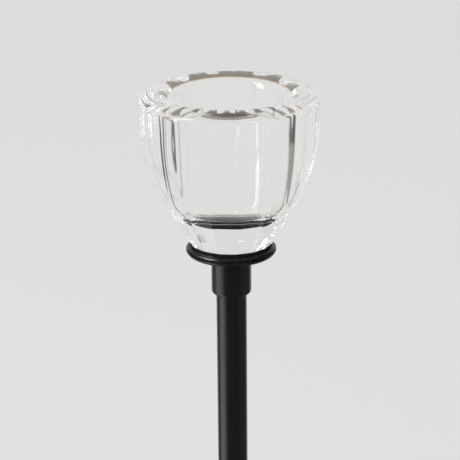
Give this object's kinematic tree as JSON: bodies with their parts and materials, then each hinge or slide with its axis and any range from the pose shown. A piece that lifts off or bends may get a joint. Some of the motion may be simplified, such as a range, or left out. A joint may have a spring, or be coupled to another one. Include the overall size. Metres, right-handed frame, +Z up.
{
  "type": "glass candle holder on a stem",
  "caption": "Faceted clear glass candle cup with a rolled rim, loose in a black beaded tray on a slim stem with a heavy round base; holds a tealight or votive.",
  "frame": {"origin": "centre of the underside of the base, on the surface that the holder stands on", "axes": "+Z up along the stem; -Y is the side that the picture looks at"},
  "size_m": [0.11, 0.11, 0.28],
  "materials": {
    "clear_glass": "polished clear crystal glass",
    "black_metal": "satin black powder coat",
    "zinc_steel": "bright zinc plate",
    "black_felt": "pressed felt"
  },
  "bodies": {
    "stand": {"cup_tray": "black_metal", "top_collar": "black_metal", "stem_tube": "black_metal", "base_collar": "black_metal", "base_plate": "black_metal", "tie_rod": "zinc_steel", "lock_washer": "zinc_steel", "base_nut": "zinc_steel", "glass_cushion": "black_felt", "base_pad": "black_felt"},
    "cup": {"glass_cup": "clear_glass"}
  },
  "joints": [
    {"name": "cup_lift", "type": "slide", "parent": "stand", "child": "cup", "axis": [0, 0, 1], "range_m": [0, 0.08]}
  ]
}
